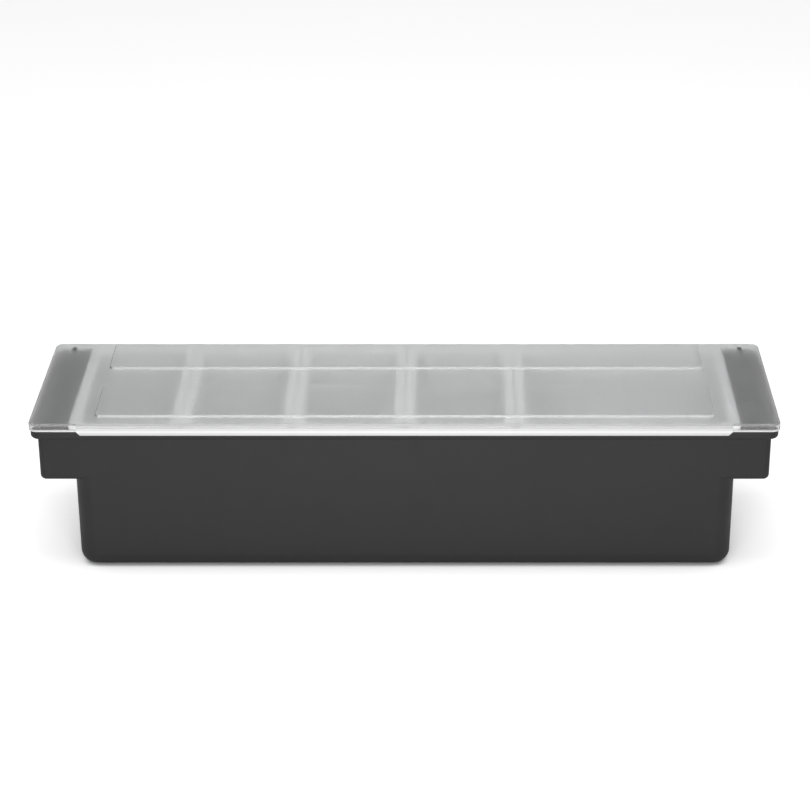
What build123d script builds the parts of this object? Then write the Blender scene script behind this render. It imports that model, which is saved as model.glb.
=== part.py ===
from build123d import *
from math import radians, tan
import os

# Bar garnish tray: a black stepped tub, five lift-out food inserts hung on its flange,
# and a frosted lid that turns up about two hinge lugs at the rear corners.
# Millimetres. X runs along the tray, -Y is its front, +Z is up, and the origin is under
# the middle of the tray at table height.

# Housing: the black tub
housing_length = 498.4
housing_depth = 152.4
housing_height = 101.3
housing_wall = 2.5
housing_draft = 1.0
flange_height = 5.9
flange_overhang = 4.3
flange_corner = 7.0
flange_top_round = 1.0
flange_under_round = 2.2
neck_cove = 1.2
shoulder_drop = 37.0
shoulder_length = 22.7
shoulder_corner = 3.8
shoulder_round = 3.6
foot_corner = 11.5
foot_round = 10.0

# Lid: the frosted cover
lid_gap = 0.3
lid_edge_height = 5.7
lid_plate = 1.8
lid_wall = 1.7
lid_side_overhang = 0.8
lid_corner = 6.0
lid_edge_round = 1.1
lid_wall_setback = 7.2

# Front lip of the lid, which hangs over the flange
lip_drop = 2.1
lip_end_margin = 32.2
lip_start = 1.6
lip_flare = 1.2
lip_corner = 2.4

# The two raised panels of the lid; the rear one takes the room that is left before its margin
panel_height = 1.6
panel_end_margin = 43.0
panel_corner = 3.4
panel_edge_round = 0.7
front_panel_margin = 12.0
front_panel_depth = 56.5
panel_spacing = 34.5
rear_panel_margin = 5.7

# Hinge: pins on the lid's lugs, clipped into sockets in the housing's rear corners
hinge_inset = 7.4
hinge_drop = 5.0
hinge_end_distance = 13.0
pin_radius = 2.0
pin_clearance = 0.08
pin_reach = 2.4
lug_thickness = 3.0
lug_radius = 3.0
lug_clearance = 0.3
socket_mouth = 3.5
socket_cheek = 2.6
socket_shelf = 4.2
notch_drop = 6.2

# Inserts: light moulded food pans in a row, whose rims reach a little past the lower tub's ends
small_insert_count = 4
large_insert_place_count = 2
row_end_reach = 1.9
insert_gap = 0.4
ice_well_height = 34.6
insert_wall = 1.8
insert_draft = 2.5
insert_corner = 9.0
insert_round = 6.0
insert_side_clearance = 1.0
rim_thickness = 1.8
rim_overhang = 5.6
rim_corner = 4.0
rim_edge_round = 0.5
seat_gap = 0.3

# Cuts run past the faces that they open by this much, and joined solids sink in by this much
overrun = 2.0
weld = 0.4

# A lower round stays under this share of the upright corner that it runs into
round_limit_share = 0.96
# An edge whose direction is more upright than this share of a vertical one is a corner edge
upright_share = 0.7

os.makedirs("parts", exist_ok=True)

flange_half_x = housing_length / 2
flange_half_y = housing_depth / 2
wall_half_x = flange_half_x - flange_overhang
wall_half_y = flange_half_y - flange_overhang
foot_half_x = wall_half_x - shoulder_length
shoulder_z = housing_height - shoulder_drop

lid_bottom_z = housing_height + lid_gap
lid_top_z = lid_bottom_z + lid_edge_height
plate_z = lid_top_z - lid_plate
lid_half_x = flange_half_x + lid_side_overhang
lid_front_y = -(flange_half_y + lid_side_overhang)
lid_rear_y = flange_half_y + lid_gap + lid_wall
lip_front_y = -lid_rear_y
lip_length = 2 * (lid_half_x - lip_end_margin)

panel_length = 2 * (lid_half_x - panel_end_margin)
front_panel_y = lid_front_y + front_panel_margin
rear_panel_y = front_panel_y + front_panel_depth + panel_spacing
rear_panel_depth = lid_rear_y - rear_panel_margin - rear_panel_y

hinge_y = flange_half_y - hinge_inset
hinge_z = housing_height - hinge_drop
hinge_x = flange_half_x - hinge_end_distance

rim_z = housing_height + seat_gap
rim_top_z = rim_z + rim_thickness
insert_half_y = wall_half_y - housing_wall - insert_side_clearance
row_start_x = -(foot_half_x + row_end_reach)
insert_pitch = -2 * row_start_x / (small_insert_count + large_insert_place_count)


# Sides lean in by this much over a height
def lean(height, draft):
    return height * tan(radians(draft))


# A block with drafted sides and rounded corners; its half sizes are the ones at size_z
def drafted_block(half_x, half_y, size_z, top_z, bottom_z, draft, corner, bottom_round):
    def outline(z):
        inset = lean(size_z - z, draft)
        return Pos(0, 0, z) * Rectangle(2 * (half_x - inset), 2 * (half_y - inset))

    block = loft([outline(bottom_z).face(), outline(top_z).face()], ruled=True)
    corners = [e for e in block.edges() if abs(e.tangent_at(0).Z) > upright_share]
    block = fillet(corners, corner)
    lower = block.edges().group_by(Axis.Z)[0]
    return fillet(lower, min(bottom_round, corner * round_limit_share))


# A flat slab with rounded corners in plan, from low_z up to high_z
def rounded_slab(size_x, size_y, corner, low_z, high_z):
    outline = Pos(0, 0, low_z) * RectangleRounded(size_x, size_y, corner)
    return extrude(outline, high_z - low_z)


# A box between two opposite corners
def box_between(low, high):
    size = [b - a for a, b in zip(low, high)]
    return Pos(*low) * Box(*size, align=(Align.MIN, Align.MIN, Align.MIN))


# A round bar along X
def bar_along_x(radius, low_x, high_x, y, z):
    return Pos(low_x, y, z) * Rot(0, 90, 0) * Cylinder(
        radius, high_x - low_x, align=(Align.CENTER, Align.CENTER, Align.MIN)
    )


# The tub's outside is a wide upper block over a narrower lower one, with flush fronts.
# Its inside is the same pair of blocks, one wall thickness in.
def housing_blocks(inward, top_z, floor_rise):
    upper = drafted_block(
        wall_half_x - inward,
        wall_half_y - inward,
        housing_height,
        top_z,
        shoulder_z + floor_rise,
        housing_draft,
        shoulder_corner - inward,
        shoulder_round - inward,
    )
    lower = drafted_block(
        foot_half_x - inward,
        wall_half_y - inward,
        housing_height,
        top_z,
        floor_rise,
        housing_draft,
        foot_corner - inward,
        foot_round - inward,
    )
    return upper + lower


# The bead round the tub's mouth
def housing_flange():
    low_z = housing_height - flange_height
    flange = rounded_slab(housing_length, housing_depth, flange_corner, low_z, housing_height)
    flange = fillet(flange.edges().group_by(Axis.Z)[-1], flange_top_round)
    return fillet(flange.edges().group_by(Axis.Z)[0], flange_under_round)


# A small slope fills the corner between the wall and the flange
def housing_neck():
    high_z = housing_height - flange_height + weld
    low_z = high_z - weld - neck_cove
    sunk = lean(housing_height - low_z, housing_draft) + weld
    low = Pos(0, 0, low_z) * RectangleRounded(
        2 * (wall_half_x - sunk), 2 * (wall_half_y - sunk), shoulder_corner
    )
    high = Pos(0, 0, high_z) * RectangleRounded(
        2 * (wall_half_x + neck_cove), 2 * (wall_half_y + neck_cove), shoulder_corner + neck_cove
    )
    return loft([low.face(), high.face()], ruled=True)


# A solid block in each rear corner holds one socket; side is -1 at the left and 1 at the right
def socket_block(side):
    inner_x = hinge_x - lug_thickness / 2 - lug_clearance - socket_cheek
    outer_x = wall_half_x - housing_wall / 2
    front_y = hinge_y - socket_shelf
    rear_y = wall_half_y - housing_wall / 2
    low_z = hinge_z - socket_shelf
    low_x, high_x = sorted((side * inner_x, side * outer_x))
    return box_between((low_x, front_y, low_z), (high_x, rear_y, housing_height))


# The socket is a bore with a mouth a little narrower than the pin, so that the pin clips in.
# The notch lets the lug swing back through the wall and the flange.
def socket_cuts(side):
    half_lug = lug_thickness / 2 + lug_clearance
    reach = half_lug + pin_reach + lug_clearance
    open_x = hinge_x - half_lug - socket_cheek - overrun
    low_x, high_x = sorted((side * open_x, side * (hinge_x + reach)))
    top_z = housing_height + overrun
    bore = bar_along_x(pin_radius + pin_clearance, low_x, high_x, hinge_y, hinge_z)
    mouth = box_between(
        (low_x, hinge_y - socket_mouth / 2, hinge_z),
        (high_x, hinge_y + socket_mouth / 2, top_z),
    )
    notch = box_between(
        (side * hinge_x - half_lug, hinge_y - socket_shelf - overrun, hinge_z - notch_drop),
        (side * hinge_x + half_lug, flange_half_y + overrun, top_z),
    )
    return bore + mouth + notch


def make_housing():
    body = housing_blocks(0, housing_height, 0) + housing_flange() + housing_neck()
    body = body - housing_blocks(housing_wall, housing_height + overrun, housing_wall)
    for side in (-1, 1):
        body = body + socket_block(side) - socket_cuts(side)
    return body


# The lid's plate with its low walls; the walls stop short of the hinge line
def lid_shell():
    size_x = 2 * lid_half_x
    size_y = lid_rear_y - lid_front_y
    middle_y = (lid_rear_y + lid_front_y) / 2
    shell = Pos(0, middle_y, 0) * rounded_slab(size_x, size_y, lid_corner, lid_bottom_z, lid_top_z)
    hollow = Pos(0, middle_y, 0) * rounded_slab(
        size_x - 2 * lid_wall,
        size_y - 2 * lid_wall,
        lid_corner - lid_wall,
        lid_bottom_z - overrun,
        plate_z,
    )
    rear = box_between(
        (-lid_half_x - overrun, hinge_y - lid_wall_setback, lid_bottom_z - overrun),
        (lid_half_x + overrun, lid_rear_y + overrun, plate_z),
    )
    shell = shell - hollow - rear
    return fillet(shell.edges().group_by(Axis.Z)[-1], lid_edge_round)


# One raised panel, hollow underneath so that the sheet keeps its thickness
def raise_panel(lid, front_y, depth):
    middle = Pos(0, front_y + depth / 2, 0)
    top_z = lid_top_z + panel_height
    bump = middle * rounded_slab(panel_length, depth, panel_corner, lid_top_z - weld, top_z)
    bump = fillet(bump.edges().group_by(Axis.Z)[-1], panel_edge_round)
    hollow = middle * rounded_slab(
        panel_length - 2 * lid_plate,
        depth - 2 * lid_plate,
        panel_corner - lid_plate,
        plate_z - overrun,
        top_z - lid_plate,
    )
    return lid + bump - hollow


# The lip flares out from the front wall and hangs in front of the flange
def front_lip():
    low_z = housing_height - lip_drop + lid_gap
    inner_y = lip_front_y + lid_wall
    profile = Polyline(
        (lid_front_y + weld, lid_top_z - lip_start),
        (lid_front_y, lid_top_z - lip_start),
        (lip_front_y, lid_top_z - lip_start - lip_flare),
        (lip_front_y, low_z),
        (inner_y, low_z),
        (inner_y, lid_bottom_z),
        (inner_y + weld, lid_bottom_z),
        close=True,
    )
    section = make_face(Plane.YZ * profile)
    lip = extrude(section, lip_length / 2, both=True)
    half = lip_length / 2
    top_z = lid_top_z + overrun
    front_view = Polyline(
        (-half, top_z),
        (half, top_z),
        (half, low_z + lip_corner),
        (half - lip_corner, low_z),
        (-half + lip_corner, low_z),
        (-half, low_z + lip_corner),
        close=True,
    )
    mask = extrude(make_face(Plane.XZ * front_view), housing_depth, both=True)
    return lip & mask


# A lug hangs from the plate and carries a pin out of each of its two faces
def hinge_lug(side):
    centre_x = side * hinge_x
    half = lug_thickness / 2
    reach = half + lug_clearance + pin_reach
    web = box_between(
        (centre_x - half, hinge_y - lug_radius, hinge_z),
        (centre_x + half, hinge_y + lug_radius, plate_z + weld),
    )
    eye = bar_along_x(lug_radius, centre_x - half, centre_x + half, hinge_y, hinge_z)
    pin = bar_along_x(pin_radius, centre_x - reach, centre_x + reach, hinge_y, hinge_z)
    return web + eye + pin


def make_lid():
    lid = raise_panel(lid_shell(), front_panel_y, front_panel_depth)
    lid = raise_panel(lid, rear_panel_y, rear_panel_depth)
    lid = lid + front_lip()
    for side in (-1, 1):
        lid = lid + hinge_lug(side)
    return lid


# An insert that fills some of the row's places, counted from the left
def make_insert(first_place, places):
    rim_x = places * insert_pitch - insert_gap
    rim_y = 2 * (insert_half_y + rim_overhang)
    half_x = rim_x / 2 - rim_overhang
    middle_x = row_start_x + (first_place + places / 2) * insert_pitch
    rim = rounded_slab(rim_x, rim_y, rim_corner, rim_z, rim_top_z)
    rim = fillet(rim.edges().group_by(Axis.Z)[-1], rim_edge_round)
    tub = drafted_block(
        half_x,
        insert_half_y,
        rim_top_z,
        rim_top_z,
        ice_well_height,
        insert_draft,
        insert_corner,
        insert_round,
    )
    inside = drafted_block(
        half_x - insert_wall,
        insert_half_y - insert_wall,
        rim_top_z,
        rim_top_z + overrun,
        ice_well_height + insert_wall,
        insert_draft,
        insert_corner - insert_wall,
        insert_round - insert_wall,
    )
    return Pos(middle_x, 0, 0) * (rim + tub - inside)


nodes = {"housing": make_housing(), "lid": make_lid()}
for place in range(small_insert_count):
    nodes[f"insert_{place + 1}"] = make_insert(place, 1)
nodes[f"insert_{small_insert_count + 1}_large"] = make_insert(small_insert_count, large_insert_place_count)

for name, shape in nodes.items():
    export_step(shape, f"parts/{name}.step")
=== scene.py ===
import math

import bmesh
import bpy
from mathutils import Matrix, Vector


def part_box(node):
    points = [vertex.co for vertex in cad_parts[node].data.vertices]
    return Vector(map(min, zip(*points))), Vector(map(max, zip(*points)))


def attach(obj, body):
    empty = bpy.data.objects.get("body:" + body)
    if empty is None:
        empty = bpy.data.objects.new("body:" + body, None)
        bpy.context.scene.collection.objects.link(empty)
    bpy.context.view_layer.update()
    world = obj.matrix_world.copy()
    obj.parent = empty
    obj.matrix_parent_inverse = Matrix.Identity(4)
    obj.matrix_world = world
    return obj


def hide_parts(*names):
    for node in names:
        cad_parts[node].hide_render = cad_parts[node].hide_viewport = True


# Bar garnish tray: black stepped tub, five light inserts, frosted lid. Metres, as the frame.
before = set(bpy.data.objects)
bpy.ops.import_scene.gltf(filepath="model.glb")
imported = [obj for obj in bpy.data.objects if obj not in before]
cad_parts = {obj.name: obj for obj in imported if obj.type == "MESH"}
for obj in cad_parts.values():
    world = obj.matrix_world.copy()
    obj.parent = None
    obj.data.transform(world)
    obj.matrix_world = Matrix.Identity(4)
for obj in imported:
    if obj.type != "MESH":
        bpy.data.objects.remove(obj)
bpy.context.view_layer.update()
print("frame loaded:", sorted(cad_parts))

mm = 0.001
noiseSpan = (0.3, 0.7)  # nearly all of a noise texture's values lie between these
grainDetail = 2.0
cloudDetail = 3.0


def hexColour(code):
    # an sRGB hex value as the linear colour that the shaders take
    parts = [int(code[i:i + 2], 16) / 255 for i in (1, 3, 5)]
    linear = [p / 12.92 if p <= 0.04045 else ((p + 0.055) / 1.055) ** 2.4 for p in parts]
    return (*linear, 1.0)


def addNode(tree, kind, inputs=None, stops=(), **settings):
    # one node with its settings; an input takes a value or another node's output, and stops are a
    # colour ramp's places with the grey at each
    made = tree.nodes.new(kind)
    if stops:
        marks = made.color_ramp.elements
        while len(marks) < len(stops):
            marks.new(1.0)
        for mark, (place, grey) in zip(marks, stops):
            mark.position = place
            mark.color = (grey, grey, grey, 1.0)
    for name, value in settings.items():
        setattr(made, name, value)
    for name, value in (inputs or {}).items():
        if isinstance(value, bpy.types.NodeSocket):
            tree.links.new(value, made.inputs[name])
        else:
            made.inputs[name].default_value = value
    return made


def newMaterial(name):
    material = bpy.data.materials.new(name)
    material.use_nodes = True
    material.node_tree.nodes.clear()
    return material, material.node_tree


# The camera comes first because everything is judged through it. It looks straight along the
# tray's depth from a little right of its middle, and the shift brings the tray back to the centre.
cameraView = {
    "place": (0.0273, -1.8234, 0.8053),
    "pitchDown": 21.40,
    "lens": 126.1,
    "sensorWidth": 36.0,
    "shiftX": -0.05,
    "clipNear": 0.05,
    "clipFar": 50.0,
}


def makeCamera(values):
    data = bpy.data.cameras.new("photoCamera")
    camera = bpy.data.objects.new("photoCamera", data)
    bpy.context.scene.collection.objects.link(camera)
    data.sensor_width = values["sensorWidth"]
    data.lens = values["lens"]
    data.shift_x = values["shiftX"]
    data.clip_start = values["clipNear"]
    data.clip_end = values["clipFar"]
    camera.location = values["place"]
    camera.rotation_euler = (math.radians(90 - values["pitchDown"]), 0.0, 0.0)
    bpy.context.scene.camera = camera


makeCamera(cameraView)
print("camera made")

# The studio: a pale floor, a white surround, one soft lamp above and one low in front
studio = {
    "worldLight": 0.42,
    "reflectMiddle": 0.9,
    "reflectPeak": -0.02,  # the direction's X at which the mirrored surround is brightest
    "reflectSide": 0.25,  # how bright the surround is to the sides, where the lid's ends mirror it
    "reflectSpread": 0.16,  # how far the direction's X is from the peak where that is reached
    "floorColour": "#ECECEC",
    "floorGlow": 0.52,
    "floorThrough": 0.1,  # the strength of its glow as seen through the lid
    "floorMirrored": 0.1,  # the share of its glow that other surfaces mirror
    "floorHalf": 5.0,
    "contactReach": 40.0,  # mm over which the floor's glow fades towards the tray
    "contactSamples": 8,
    # the share of the glow that is left where the floor is more or less hidden from the sky
    "contactGlow": ((0.25, 0.0), (0.47, 0.62), (0.6, 0.92), (0.8, 0.93), (1.0, 1.0)),
}
softLamps = {
    "topSoftbox": {"size": (1.5, 0.9), "place": (0.0, -0.05, 1.35), "tilt": 0.0, "power": 9.0},
    "frontSoftbox": {"size": (0.35, 0.25), "place": (0.0, -0.9, 0.36), "tilt": 73.0, "power": 3.3},
}


def makeSurround(values):
    # plain white to the camera, dimmer as light on the tray, and brightest in the middle where a
    # surface mirrors it or lets it through
    world = bpy.data.worlds.new("whiteStudio")
    bpy.context.scene.world = world
    world.use_nodes = True
    tree = world.node_tree
    tree.nodes.clear()
    path = addNode(tree, "ShaderNodeLightPath").outputs
    ray = addNode(tree, "ShaderNodeTexCoord").outputs["Generated"]
    across = addNode(tree, "ShaderNodeSeparateXYZ", {0: ray}).outputs["X"]
    off = addNode(tree, "ShaderNodeMath", {
        0: across, 1: values["reflectPeak"]}, operation="SUBTRACT").outputs[0]
    aside = addNode(tree, "ShaderNodeMath", {0: off}, operation="ABSOLUTE").outputs[0]
    mirrored = addNode(tree, "ShaderNodeMapRange", {
        "Value": aside, "From Max": values["reflectSpread"],
        "To Min": values["reflectMiddle"], "To Max": values["reflectSide"]}).outputs[0]
    clearly = addNode(tree, "ShaderNodeMath", {
        0: path["Is Glossy Ray"], 1: path["Is Transmission Ray"]}, operation="MAXIMUM").outputs[0]
    unseen = addNode(tree, "ShaderNodeMapRange", {
        "Value": clearly, "To Min": values["worldLight"], "To Max": mirrored}).outputs[0]
    strength = addNode(tree, "ShaderNodeMapRange", {
        "Value": path["Is Camera Ray"], "To Min": unseen, "To Max": 1.0}).outputs[0]
    background = addNode(tree, "ShaderNodeBackground", {
        "Color": (1.0, 1.0, 1.0, 1.0), "Strength": strength}).outputs[0]
    addNode(tree, "ShaderNodeOutputWorld", {"Surface": background})


def makeFloor(values):
    # matt paper with a glow of its own, which fades where the tray hides it from the sky
    half = values["floorHalf"]
    corners = [(-half, -half, 0), (half, -half, 0), (half, half, 0), (-half, half, 0)]
    mesh = bpy.data.meshes.new("studioFloor")
    mesh.from_pydata(corners, [], [(0, 1, 2, 3)])
    floor = bpy.data.objects.new("studioFloor", mesh)
    bpy.context.scene.collection.objects.link(floor)
    material, tree = newMaterial("paperSweep")
    matt = addNode(tree, "ShaderNodeBsdfDiffuse", {"Color": hexColour(values["floorColour"])}).outputs[0]
    near = addNode(tree, "ShaderNodeAmbientOcclusion", {
        "Distance": values["contactReach"] * mm}, samples=values["contactSamples"]).outputs["AO"]
    fading = addNode(tree, "ShaderNodeValToRGB", {"Fac": near}, stops=values["contactGlow"])
    nearby = addNode(tree, "ShaderNodeMath", {
        0: fading.outputs["Color"], 1: values["floorGlow"]}, operation="MULTIPLY").outputs[0]
    path = addNode(tree, "ShaderNodeLightPath").outputs
    mirrored = addNode(tree, "ShaderNodeMath", {
        0: path["Is Glossy Ray"], 1: values["floorMirrored"]}, operation="MULTIPLY").outputs[0]
    through = addNode(tree, "ShaderNodeMath", {
        0: path["Is Transmission Ray"], 1: values["floorThrough"] / values["floorGlow"]},
        operation="MULTIPLY").outputs[0]
    unseen = addNode(tree, "ShaderNodeMath", {0: mirrored, 1: through}, operation="MAXIMUM").outputs[0]
    shown = addNode(tree, "ShaderNodeMath", {
        0: path["Is Camera Ray"], 1: unseen}, operation="MAXIMUM").outputs[0]
    glowing = addNode(tree, "ShaderNodeMath", {0: shown, 1: nearby}, operation="MULTIPLY").outputs[0]
    glow = addNode(tree, "ShaderNodeEmission", {"Strength": glowing}).outputs[0]
    both = addNode(tree, "ShaderNodeAddShader", {0: matt, 1: glow}).outputs[0]
    addNode(tree, "ShaderNodeOutputMaterial", {"Surface": both})
    mesh.materials.append(material)


def makeLamp(name, values):
    data = bpy.data.lights.new(name, "AREA")
    data.shape = "RECTANGLE"
    data.size, data.size_y = values["size"]
    data.energy = values["power"]
    lamp = bpy.data.objects.new(name, data)
    lamp.location = values["place"]
    lamp.rotation_euler = (math.radians(values["tilt"]), 0.0, 0.0)
    bpy.context.scene.collection.objects.link(lamp)


bpy.context.scene.view_settings.view_transform = "Standard"
makeSurround(studio)
makeFloor(studio)
for lampName, lampValues in softLamps.items():
    makeLamp(lampName, lampValues)
print("studio made")

# The housing
housingLook = {
    "colour": "#1A1A1A",
    "ior": 1.54,
    "roughness": 0.5,
    "roughnessSpread": 0.04,
    "grainSize": 0.9,  # mm, the real spark-eroded grain is about 0.2 mm, drawn coarser so that it shows
    "grainRoughness": 0.6,
    "grainHeight": 0.02,  # mm
    "grainStrength": 0.5,
    "cloudSize": 30.0,  # mm
}


def mattAbs(values):
    # black ABS from a finely spark-eroded mould: dark, with a broad soft sheen
    material, tree = newMaterial("mattMouldedAbs")
    place = addNode(tree, "ShaderNodeTexCoord").outputs["Object"]
    grain = addNode(tree, "ShaderNodeTexNoise", {
        "Vector": place, "Scale": 1 / (values["grainSize"] * mm), "Detail": grainDetail,
        "Roughness": values["grainRoughness"]}).outputs["Fac"]
    cloud = addNode(tree, "ShaderNodeTexNoise", {
        "Vector": place, "Scale": 1 / (values["cloudSize"] * mm), "Detail": cloudDetail}).outputs["Fac"]
    rough = addNode(tree, "ShaderNodeMapRange", {
        "Value": cloud, "From Min": noiseSpan[0], "From Max": noiseSpan[1],
        "To Min": values["roughness"] - values["roughnessSpread"],
        "To Max": values["roughness"] + values["roughnessSpread"]}).outputs[0]
    bump = addNode(tree, "ShaderNodeBump", {
        "Height": grain, "Strength": values["grainStrength"],
        "Distance": values["grainHeight"] * mm}).outputs[0]
    shader = addNode(tree, "ShaderNodeBsdfPrincipled", {
        "Base Color": hexColour(values["colour"]), "Roughness": rough, "IOR": values["ior"],
        "Normal": bump}).outputs[0]
    addNode(tree, "ShaderNodeOutputMaterial", {"Surface": shader})
    return material


# The lid
lidLook = {
    "colour": "#F7F8F8",
    "ior": 1.49,
    "roughness": 0.35,
    "edgeRoughness": 0.22,  # the mould polishes the edges, steps and walls more than the frosted face
    "seeThroughFace": 0.995,  # how clear the flat sheet is
    "lampThrough": "#F2F2F2",  # what is left of the lamps' light below the lid
    "levelFrom": 0.6,  # the normal's Z between which an edge turns into the flat face
    "levelTo": 0.97,
    "lipFrom": -75.9,  # mm, where the front edge and its lip start towards the front
    "lipReach": 218.0,  # mm, how far they reach to each side
    "lipClear": 0.1,
    "heights": (99.5, 109.5),  # mm, the span that the tables below share out from 0 to 1
    # how clear the walls and steps are at each height: the walls' lower edge, the thin wall, the
    # sheet's own edge, then the raised panels' steps
    "wallClear": ((101.5, 0.35), (102.5, 0.40), (102.9, 0.94), (104.7, 0.94), (105.3, 0.86), (107.25, 0.84),
                  (107.35, 0.1)),
    # how pale they are, the face and rounded top of the panels' steps last, these darkened as painted shade
    "wallPaleAndStepShade": ((107.25, 0.93), (107.35, 0.8), (108.1, 0.8), (108.4, 0.62)),
    "stepFrom": 107.35,  # mm, the heights between which the panels' steps and their rounds lie
    "stepTo": 108.88,
    "stepLeftPaintedShade": "#8A8B8B",  # painted shade: the steps at the panels' left ends are coloured darker, because they gather less light
    "leftFrom": -0.2,  # the normal's X between which a step turns into a left end
    "leftTo": -0.5,
    # how pale the lip is, with a painted highlight halfway down its thick moulded bead and painted shade
    # towards its top
    "lipPaleAndPaintedLight": ((99.5, 0.75), (100.9, 0.75), (101.4, 0.92), (102.1, 0.96), (102.7, 0.96), (103.0, 0.79),
                (104.3, 0.82), (104.6, 0.62), (105.6, 0.57), (107.1, 0.47)),
    "lugFrom": 63.0,  # mm, the hinge lugs are the only part of the lid behind this
    "lugTop": 105.4,  # mm, and below this
    "lugPaintedShade": "#4A4B4B",  # painted shade: the lugs, which sink into the black sockets, are coloured dark grey
    "cloudSize": 14.0,  # mm
    "cloudDepth": 0.02,
    "grainSize": 0.8,  # mm, the real frosting is about 0.1 mm, drawn coarser so that it shows
    "grainHeight": 0.004,  # mm
    "frosting": 0.4,
}


def lidMasks(tree, place, normal, values):
    # where a point lies, each from 0 to 1: the flat sheet, the panels' steps, the front lip, a lug
    # and a step's left end
    axes = addNode(tree, "ShaderNodeSeparateXYZ", {0: place}).outputs
    facing = addNode(tree, "ShaderNodeSeparateXYZ", {0: normal}).outputs
    level = addNode(tree, "ShaderNodeMath", {0: facing["Z"]}, operation="ABSOLUTE").outputs[0]
    nearlyFlat = addNode(tree, "ShaderNodeMapRange", {
        "Value": level, "From Min": values["levelFrom"], "From Max": values["levelTo"]}).outputs[0]
    overFoot = addNode(tree, "ShaderNodeMath", {
        0: axes["Z"], 1: values["stepFrom"] * mm}, operation="GREATER_THAN").outputs[0]
    underTop = addNode(tree, "ShaderNodeMath", {
        0: axes["Z"], 1: values["stepTo"] * mm}, operation="LESS_THAN").outputs[0]
    onStep = addNode(tree, "ShaderNodeMath", {0: overFoot, 1: underTop}, operation="MULTIPLY").outputs[0]
    flat = addNode(tree, "ShaderNodeMapRange", {
        "Value": onStep, "To Min": nearlyFlat, "To Max": 0.0}).outputs[0]
    front = addNode(tree, "ShaderNodeMath", {
        0: axes["Y"], 1: values["lipFrom"] * mm}, operation="LESS_THAN").outputs[0]
    aside = addNode(tree, "ShaderNodeMath", {0: axes["X"]}, operation="ABSOLUTE").outputs[0]
    within = addNode(tree, "ShaderNodeMath", {
        0: aside, 1: values["lipReach"] * mm}, operation="LESS_THAN").outputs[0]
    lip = addNode(tree, "ShaderNodeMath", {0: front, 1: within}, operation="MULTIPLY").outputs[0]
    # the hinge lugs, which take painted shade
    behind = addNode(tree, "ShaderNodeMath", {
        0: axes["Y"], 1: values["lugFrom"] * mm}, operation="GREATER_THAN").outputs[0]
    below = addNode(tree, "ShaderNodeMath", {
        0: axes["Z"], 1: values["lugTop"] * mm}, operation="LESS_THAN").outputs[0]
    lug = addNode(tree, "ShaderNodeMath", {0: behind, 1: below}, operation="MULTIPLY").outputs[0]
    # a step's left end, which takes painted shade
    leftwards = addNode(tree, "ShaderNodeMapRange", {
        "Value": facing["X"], "From Min": values["leftFrom"], "From Max": values["leftTo"]}).outputs[0]
    leftEndShade = addNode(tree, "ShaderNodeMath", {0: leftwards, 1: onStep}, operation="MULTIPLY").outputs[0]
    return axes["Z"], flat, lip, lug, leftEndShade


def lidByHeight(tree, up, values):
    # the outputs of the tables that go by height
    bottom, top = values["heights"]
    height = addNode(tree, "ShaderNodeMapRange", {
        "Value": up, "From Min": bottom * mm, "From Max": top * mm}).outputs[0]
    byHeight = {}
    for table in ("wallClear", "wallPaleAndStepShade", "lipPaleAndPaintedLight"):
        stops = [((z - bottom) / (top - bottom), share) for z, share in values[table]]
        byHeight[table] = addNode(tree, "ShaderNodeValToRGB", {"Fac": height}, stops=stops).outputs["Color"]
    return byHeight


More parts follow.
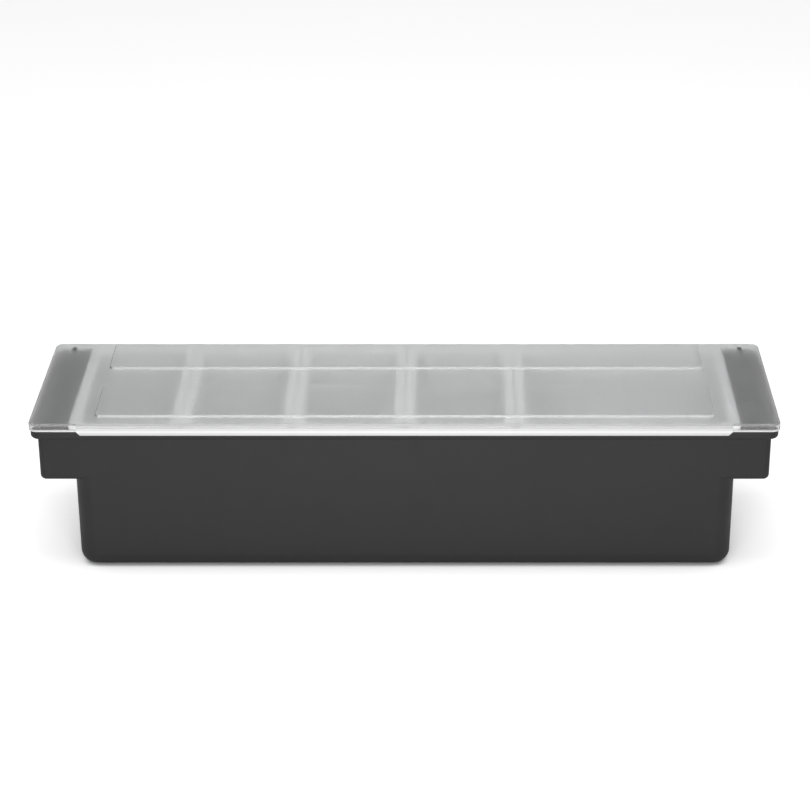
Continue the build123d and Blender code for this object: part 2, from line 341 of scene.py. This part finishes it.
def frostedSheet(values):
    # clear polycarbonate with one frosted face: blurs what lies below it, and its edges are less clear and
    # paler, with painted highlight and shade on the lip, the panels' steps and the lugs
    material, tree = newMaterial("frostedPolycarbonate")
    spot = addNode(tree, "ShaderNodeTexCoord").outputs
    place = spot["Object"]
    up, flat, lip, lug, leftEndShade = lidMasks(tree, place, spot["Normal"], values)
    byHeight = lidByHeight(tree, up, values)
    edge = addNode(tree, "ShaderNodeMapRange", {
        "Value": lip, "To Min": byHeight["wallClear"], "To Max": values["lipClear"]}).outputs[0]
    # the base colour: the sheet's own pale tone, with painted shade on the panels' steps, their left ends
    # and the lugs, and painted highlight and shade on the lip
    pale = byHeight["wallPaleAndStepShade"]
    for share, over in ((leftEndShade, hexColour(values["stepLeftPaintedShade"])), (lip, byHeight["lipPaleAndPaintedLight"]),
                        (lug, hexColour(values["lugPaintedShade"])), (flat, hexColour(values["colour"]))):
        pale = addNode(tree, "ShaderNodeMix", {
            "Factor": share, "A": pale, "B": over}, data_type="RGBA").outputs["Result"]

    cloud = addNode(tree, "ShaderNodeTexNoise", {
        "Vector": place, "Scale": 1 / (values["cloudSize"] * mm), "Detail": cloudDetail}).outputs["Fac"]
    face = addNode(tree, "ShaderNodeMapRange", {
        "Value": cloud, "From Min": noiseSpan[0], "From Max": noiseSpan[1],
        "To Min": values["seeThroughFace"] - values["cloudDepth"],
        "To Max": values["seeThroughFace"]}).outputs[0]
    through = addNode(tree, "ShaderNodeMapRange", {"Value": flat, "To Min": edge, "To Max": face}).outputs[0]
    rough = addNode(tree, "ShaderNodeMapRange", {
        "Value": flat, "To Min": values["edgeRoughness"], "To Max": values["roughness"]}).outputs[0]
    grain = addNode(tree, "ShaderNodeTexNoise", {
        "Vector": place, "Scale": 1 / (values["grainSize"] * mm), "Detail": grainDetail}).outputs["Fac"]
    frosting = addNode(tree, "ShaderNodeMath", {
        0: flat, 1: values["frosting"]}, operation="MULTIPLY").outputs[0]
    bump = addNode(tree, "ShaderNodeBump", {
        "Height": grain, "Strength": frosting, "Distance": values["grainHeight"] * mm}).outputs[0]
    shader = addNode(tree, "ShaderNodeBsdfPrincipled", {
        "Base Color": pale, "Roughness": rough, "IOR": values["ior"], "Transmission Weight": through,
        "Normal": bump}).outputs[0]

    # the lid is plain clear to shadow rays, so that the lamps light the inserts below it
    passing = addNode(tree, "ShaderNodeBsdfTransparent", {
        "Color": hexColour(values["lampThrough"])}).outputs[0]
    path = addNode(tree, "ShaderNodeLightPath").outputs
    both = addNode(tree, "ShaderNodeMixShader", {
        0: path["Is Shadow Ray"], 1: shader, 2: passing}).outputs[0]
    addNode(tree, "ShaderNodeOutputMaterial", {"Surface": both})
    return material


# The inserts: five moulded pans drawn by one Geometry Nodes tree, each inside its CAD solid's box
panSizes = {
    # mm
    "rimOverhang": 5.6,
    "rimThickness": 1.8,
    "wall": 1.8,
    "corner": 9.0,
    "rimCorner": 4.0,
    "floorRound": 6.0,
    "edgeRound": 0.5,
    "mouthRound": 2.8,
    "underRound": 1.0,
    # shares and counts
    "leanShare": 0.04366,  # how far a side leans in for each millimetre down, a draft of 2.5 degrees
    "arcSteps": 10,
    "roundSteps": 6,
}
panPlaces = {
    "insert_1": "pan_1",
    "insert_2": "pan_2",
    "insert_3": "pan_3",
    "insert_4": "pan_4",
    "insert_5_large": "pan_5",
}
panLook = {
    "colour": "#F2F3F3",
    "shade": "#EAEBEB",
    "ior": 1.49,
    "roughness": 0.38,
    "roughnessSpread": 0.05,
    "glowThrough": 0.12,
    "flowSize": 22.0,  # mm, the faint clouds that the melt leaves as it flows
    "flowSwirl": 0.6,
    "skinSize": 1.2,  # mm, the real skin ripple is about 0.3 mm, drawn coarser so that it shows
    "skinHeight": 0.01,  # mm
    "skinStrength": 0.5,
}
panSockets = {
    "NodeSocketFloat": (
        "Rim Length", "Rim Depth", "Height", "Middle X", "Middle Y", "Rim Top", "Rim Overhang",
        "Rim Thickness", "Wall", "Lean Share", "Corner", "Rim Corner", "Floor Round", "Edge Round",
        "Mouth Round", "Under Round"),
    "NodeSocketInt": ("Arc Steps", "Round Steps"),
    "NodeSocketMaterial": ("Plastic",),
}
floorRun = 20 * mm  # a short run towards the pan's middle, for the floor's round to start from
mergeReach = 0.01 * mm
cornerCount = 4.0
quarterTurn = math.pi / 2
betweenRows = 0.5  # halfway between two rows' numbers, so that a comparison is never a tie


def milkyPlastic(values):
    # natural polypropylene, injection moulded: milky walls that let some light through, waxy sheen
    material, tree = newMaterial("naturalPolypropylene")
    place = addNode(tree, "ShaderNodeTexCoord").outputs["Object"]
    flow = addNode(tree, "ShaderNodeTexNoise", {
        "Vector": place, "Scale": 1 / (values["flowSize"] * mm), "Detail": cloudDetail,
        "Distortion": values["flowSwirl"]}).outputs["Fac"]
    skin = addNode(tree, "ShaderNodeTexNoise", {
        "Vector": place, "Scale": 1 / (values["skinSize"] * mm), "Detail": grainDetail}).outputs["Fac"]
    colour = addNode(tree, "ShaderNodeMix", {
        "Factor": flow, "A": hexColour(values["shade"]), "B": hexColour(values["colour"])},
        data_type="RGBA").outputs["Result"]
    rough = addNode(tree, "ShaderNodeMapRange", {
        "Value": flow, "From Min": noiseSpan[0], "From Max": noiseSpan[1],
        "To Min": values["roughness"] - values["roughnessSpread"],
        "To Max": values["roughness"] + values["roughnessSpread"]}).outputs[0]
    bump = addNode(tree, "ShaderNodeBump", {
        "Height": skin, "Strength": values["skinStrength"],
        "Distance": values["skinHeight"] * mm}).outputs[0]
    shader = addNode(tree, "ShaderNodeBsdfPrincipled", {
        "Base Color": colour, "Roughness": rough, "IOR": values["ior"], "Normal": bump}).outputs[0]
    glow = addNode(tree, "ShaderNodeBsdfTranslucent", {"Color": colour}).outputs[0]
    both = addNode(tree, "ShaderNodeMixShader", {
        0: values["glowThrough"], 1: shader, 2: glow}).outputs[0]
    addNode(tree, "ShaderNodeOutputMaterial", {"Surface": both})
    return material


def panCorners(tree, given):
    # The pan's profile before its rounds, from the middle of its inside floor, over the rim, to the
    # middle of its underside. Each point holds x = reach past the tub's wall, y = corner radius and
    # z = height from the rim's top, and comes with the radius of its round.
    wall, over, thick = given["Wall"], given["Rim Overhang"], given["Rim Thickness"]
    high, lean = given["Height"], given["Lean Share"]
    corner, rimCorner, floorRound = given["Corner"], given["Rim Corner"], given["Floor Round"]

    # the lean of the inside, of the outside and of the rim's underside
    deep = addNode(tree, "ShaderNodeMath", {0: high, 1: wall}, operation="SUBTRACT").outputs[0]
    insideLean = addNode(tree, "ShaderNodeMath", {0: deep, 1: lean}, operation="MULTIPLY").outputs[0]
    insideIn = addNode(tree, "ShaderNodeMath", {0: insideLean, 1: wall}, operation="ADD").outputs[0]
    outsideIn = addNode(tree, "ShaderNodeMath", {0: high, 1: lean}, operation="MULTIPLY").outputs[0]
    neckIn = addNode(tree, "ShaderNodeMath", {0: thick, 1: lean}, operation="MULTIPLY").outputs[0]
    innerCorner = addNode(tree, "ShaderNodeMath", {0: corner, 1: wall}, operation="SUBTRACT").outputs[0]
    innerRound = addNode(tree, "ShaderNodeMath", {0: floorRound, 1: wall}, operation="SUBTRACT").outputs[0]

    # the sizes have no signs, so each point has its own: in or out along x, and down along z
    inwards = (-1.0, 1.0, -1.0)
    outwards = (1.0, 1.0, -1.0)
    table = (
        (insideIn, innerCorner, deep, inwards),
        (wall, innerCorner, 0.0, inwards),
        (over, rimCorner, 0.0, outwards),
        (over, rimCorner, thick, outwards),
        (neckIn, corner, thick, inwards),
        (outsideIn, corner, high, inwards),
    )
    points = []
    for x, y, z, signs in table:
        sizes = addNode(tree, "ShaderNodeCombineXYZ", {0: x, 1: y, 2: z}).outputs[0]
        signed = addNode(tree, "ShaderNodeVectorMath", {0: sizes, 1: signs}, operation="MULTIPLY").outputs[0]
        points.append(signed)
    run = (-floorRun, 0.0, 0.0)
    start = addNode(tree, "ShaderNodeVectorMath", {0: points[0], 1: run}, operation="ADD").outputs[0]
    end = addNode(tree, "ShaderNodeVectorMath", {0: points[-1], 1: run}, operation="ADD").outputs[0]
    edgeRound = given["Edge Round"]
    rounds = [0.0, innerRound, given["Mouth Round"], edgeRound, edgeRound, given["Under Round"],
              floorRound, 0.0]
    return [start, *points, end], rounds


def panProfile(tree, given, index):
    # the profile's corners as a line with its rounds, and how many points that gives
    points, rounds = panCorners(tree, given)
    pointAt = addNode(tree, "GeometryNodeIndexSwitch", data_type="VECTOR")
    roundAt = addNode(tree, "GeometryNodeIndexSwitch", data_type="FLOAT")
    for table, entries in ((pointAt, points), (roundAt, rounds)):
        while len(table.index_switch_items) < len(entries):
            table.index_switch_items.new()
        tree.links.new(index, table.inputs["Index"])
        for place, entry in enumerate(entries):
            if isinstance(entry, float):
                table.inputs[place + 1].default_value = entry
            else:
                tree.links.new(entry, table.inputs[place + 1])
    line = addNode(tree, "GeometryNodeMeshLine", {"Count": len(points)}).outputs[0]
    shaped = addNode(tree, "GeometryNodeSetPosition", {0: line, "Position": pointAt.outputs[0]}).outputs[0]
    curve = addNode(tree, "GeometryNodeMeshToCurve", {0: shaped}).outputs[0]
    rounded = addNode(tree, "GeometryNodeFilletCurve", {
        0: curve, "Radius": roundAt.outputs[0], "Count": given["Round Steps"], "Limit Radius": True},
        mode="POLY").outputs[0]
    profile = addNode(tree, "GeometryNodeCurveToPoints", {0: rounded}, mode="EVALUATED").outputs[0]
    rows = addNode(tree, "GeometryNodeAttributeDomainSize", {
        0: profile}, component="POINTCLOUD").outputs["Point Count"]
    return profile, rows


def panDirections(tree, given, column, perCorner):
    # the direction round the corner at a column, along x and y, and the signs of that corner's place
    turn = addNode(tree, "ShaderNodeMath", {0: column, 1: perCorner}, operation="DIVIDE").outputs[0]
    corner = addNode(tree, "ShaderNodeMath", {0: turn}, operation="FLOOR").outputs[0]
    step = addNode(tree, "ShaderNodeMath", {0: column, 1: perCorner}, operation="MODULO").outputs[0]
    part = addNode(tree, "ShaderNodeMath", {0: step, 1: given["Arc Steps"]}, operation="DIVIDE").outputs[0]
    quarter = addNode(tree, "ShaderNodeMath", {0: corner, 1: part}, operation="ADD").outputs[0]
    angle = addNode(tree, "ShaderNodeMath", {0: quarter, 1: quarterTurn}, operation="MULTIPLY").outputs[0]
    middle = addNode(tree, "ShaderNodeMath", {
        0: corner, 1: quarterTurn, 2: quarterTurn / 2}, operation="MULTIPLY_ADD").outputs[0]
    directions = []
    for wave in ("COSINE", "SINE"):
        along = addNode(tree, "ShaderNodeMath", {0: angle}, operation=wave).outputs[0]
        side = addNode(tree, "ShaderNodeMath", {0: middle}, operation=wave).outputs[0]
        sign = addNode(tree, "ShaderNodeMath", {0: side}, operation="SIGN").outputs[0]
        directions.append((along, sign))
    return directions


def panTree():
    # a grid is wrapped round the pan's four corners along its profile: one column for each step
    # round the corners, one row for each profile point
    tree = bpy.data.node_groups.new("liftOutPan", "GeometryNodeTree")
    tree.interface.new_socket(name="Geometry", in_out="OUTPUT", socket_type="NodeSocketGeometry")
    for kind, names in panSockets.items():
        for name in names:
            tree.interface.new_socket(name=name, in_out="INPUT", socket_type=kind)
    given = addNode(tree, "NodeGroupInput").outputs
    index = addNode(tree, "GeometryNodeInputIndex").outputs[0]
    profile, rows = panProfile(tree, given, index)

    perCorner = addNode(tree, "ShaderNodeMath", {0: given["Arc Steps"], 1: 1.0}, operation="ADD").outputs[0]
    columns = addNode(tree, "ShaderNodeMath", {
        0: perCorner, 1: cornerCount, 2: 1.0}, operation="MULTIPLY_ADD").outputs[0]
    grid = addNode(tree, "GeometryNodeMeshGrid", {"Vertices X": columns, "Vertices Y": rows}).outputs[0]
    ratio = addNode(tree, "ShaderNodeMath", {0: index, 1: rows}, operation="DIVIDE").outputs[0]
    column = addNode(tree, "ShaderNodeMath", {0: ratio}, operation="FLOOR").outputs[0]
    row = addNode(tree, "ShaderNodeMath", {0: index, 1: rows}, operation="MODULO").outputs[0]
    place = addNode(tree, "GeometryNodeInputPosition").outputs[0]
    shape = addNode(tree, "GeometryNodeSampleIndex", {
        0: profile, "Value": place, "Index": row}, data_type="FLOAT_VECTOR", domain="POINT").outputs[0]
    reachOut, radius, rise = addNode(tree, "ShaderNodeSeparateXYZ", {0: shape}).outputs

    # the first and last rows close over the middle of the floor
    lastRow = addNode(tree, "ShaderNodeMath", {0: rows, 1: 1 + betweenRows}, operation="SUBTRACT").outputs[0]
    after = addNode(tree, "ShaderNodeMath", {0: row, 1: betweenRows}, operation="GREATER_THAN").outputs[0]
    before = addNode(tree, "ShaderNodeMath", {0: row, 1: lastRow}, operation="LESS_THAN").outputs[0]
    spread = addNode(tree, "ShaderNodeMath", {0: after, 1: before}, operation="MULTIPLY").outputs[0]

    sides = (("Rim Length", "Middle X"), ("Rim Depth", "Middle Y"))
    ground = []
    for (size, middle), (along, sign) in zip(sides, panDirections(tree, given, column, perCorner)):
        half = addNode(tree, "ShaderNodeMath", {0: given[size], 1: 0.5}, operation="MULTIPLY").outputs[0]
        tub = addNode(tree, "ShaderNodeMath", {
            0: half, 1: given["Rim Overhang"]}, operation="SUBTRACT").outputs[0]
        reach = addNode(tree, "ShaderNodeMath", {0: tub, 1: reachOut}, operation="ADD").outputs[0]
        straight = addNode(tree, "ShaderNodeMath", {0: reach, 1: radius}, operation="SUBTRACT").outputs[0]
        signed = addNode(tree, "ShaderNodeMath", {0: straight, 1: sign}, operation="MULTIPLY").outputs[0]
        around = addNode(tree, "ShaderNodeMath", {
            0: along, 1: radius, 2: signed}, operation="MULTIPLY_ADD").outputs[0]
        ground.append(addNode(tree, "ShaderNodeMath", {
            0: around, 1: spread, 2: given[middle]}, operation="MULTIPLY_ADD").outputs[0])
    z = addNode(tree, "ShaderNodeMath", {0: rise, 1: given["Rim Top"]}, operation="ADD").outputs[0]
    wrapping = addNode(tree, "ShaderNodeCombineXYZ", {0: ground[0], 1: ground[1], 2: z}).outputs[0]
    wrapped = addNode(tree, "GeometryNodeSetPosition", {0: grid, "Position": wrapping}).outputs[0]
    merged = addNode(tree, "GeometryNodeMergeByDistance", {0: wrapped, "Distance": mergeReach}).outputs[0]
    real = addNode(tree, "GeometryNodeRealizeInstances", {0: merged}).outputs[0]
    finished = addNode(tree, "GeometryNodeSetMaterial", {0: real, "Material": given["Plastic"]}).outputs[0]
    addNode(tree, "NodeGroupOutput", {0: finished})
    return tree


def plainMesh(piece):
    # the evaluated result as a plain mesh, with the modifiers gone
    depsgraph = bpy.context.evaluated_depsgraph_get()
    data = bpy.data.meshes.new_from_object(piece.evaluated_get(depsgraph))
    piece.modifiers.clear()
    piece.data = data
    return data


def makePan(tree, nodeName, bodyName, sizes, plastic):
    low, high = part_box(nodeName)
    piece = bpy.data.objects.new("pan" + nodeName.split("_")[1], bpy.data.meshes.new("panStart"))
    bpy.context.scene.collection.objects.link(piece)
    modifier = piece.modifiers.new("liftOutPan", "NODES")
    modifier.node_group = tree
    wanted = {
        "Rim Length": high[0] - low[0],
        "Rim Depth": high[1] - low[1],
        "Height": high[2] - low[2],
        "Middle X": (low[0] + high[0]) / 2,
        "Middle Y": (low[1] + high[1]) / 2,
        "Rim Top": high[2],
        "Rim Overhang": sizes["rimOverhang"] * mm,
        "Rim Thickness": sizes["rimThickness"] * mm,
        "Wall": sizes["wall"] * mm,
        "Lean Share": sizes["leanShare"],
        "Corner": sizes["corner"] * mm,
        "Rim Corner": sizes["rimCorner"] * mm,
        "Floor Round": sizes["floorRound"] * mm,
        "Edge Round": sizes["edgeRound"] * mm,
        "Mouth Round": sizes["mouthRound"] * mm,
        "Under Round": sizes["underRound"] * mm,
        "Arc Steps": sizes["arcSteps"],
        "Round Steps": sizes["roundSteps"],
        "Plastic": plastic,
    }
    for item in tree.interface.items_tree:
        if item.name in wanted:
            modifier[item.identifier] = wanted[item.name]
    data = plainMesh(piece)
    data.materials.clear()
    data.materials.append(plastic)

    shell = bmesh.new()
    shell.from_mesh(data)
    bmesh.ops.recalc_face_normals(shell, faces=shell.faces)
    for face in shell.faces:
        face.smooth = True
        face.material_index = 0
    shell.to_mesh(data)
    shell.free()
    piece.modifiers.new("evenShading", "WEIGHTED_NORMAL")
    plainMesh(piece)
    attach(piece, bodyName)
    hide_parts(nodeName)
    return piece


milky = milkyPlastic(panLook)
liftOutPan = panTree()
for nodeName, bodyName in panPlaces.items():
    pan = makePan(liftOutPan, nodeName, bodyName, panSizes, milky)
    print("pan made:", pan.name, len(pan.data.polygons), "faces")


def giveMaterial(nodeName, material):
    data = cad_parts[nodeName].data
    data.materials.clear()
    data.materials.append(material)


giveMaterial("housing", mattAbs(housingLook))
giveMaterial("lid", frostedSheet(lidLook))
print("materials given")
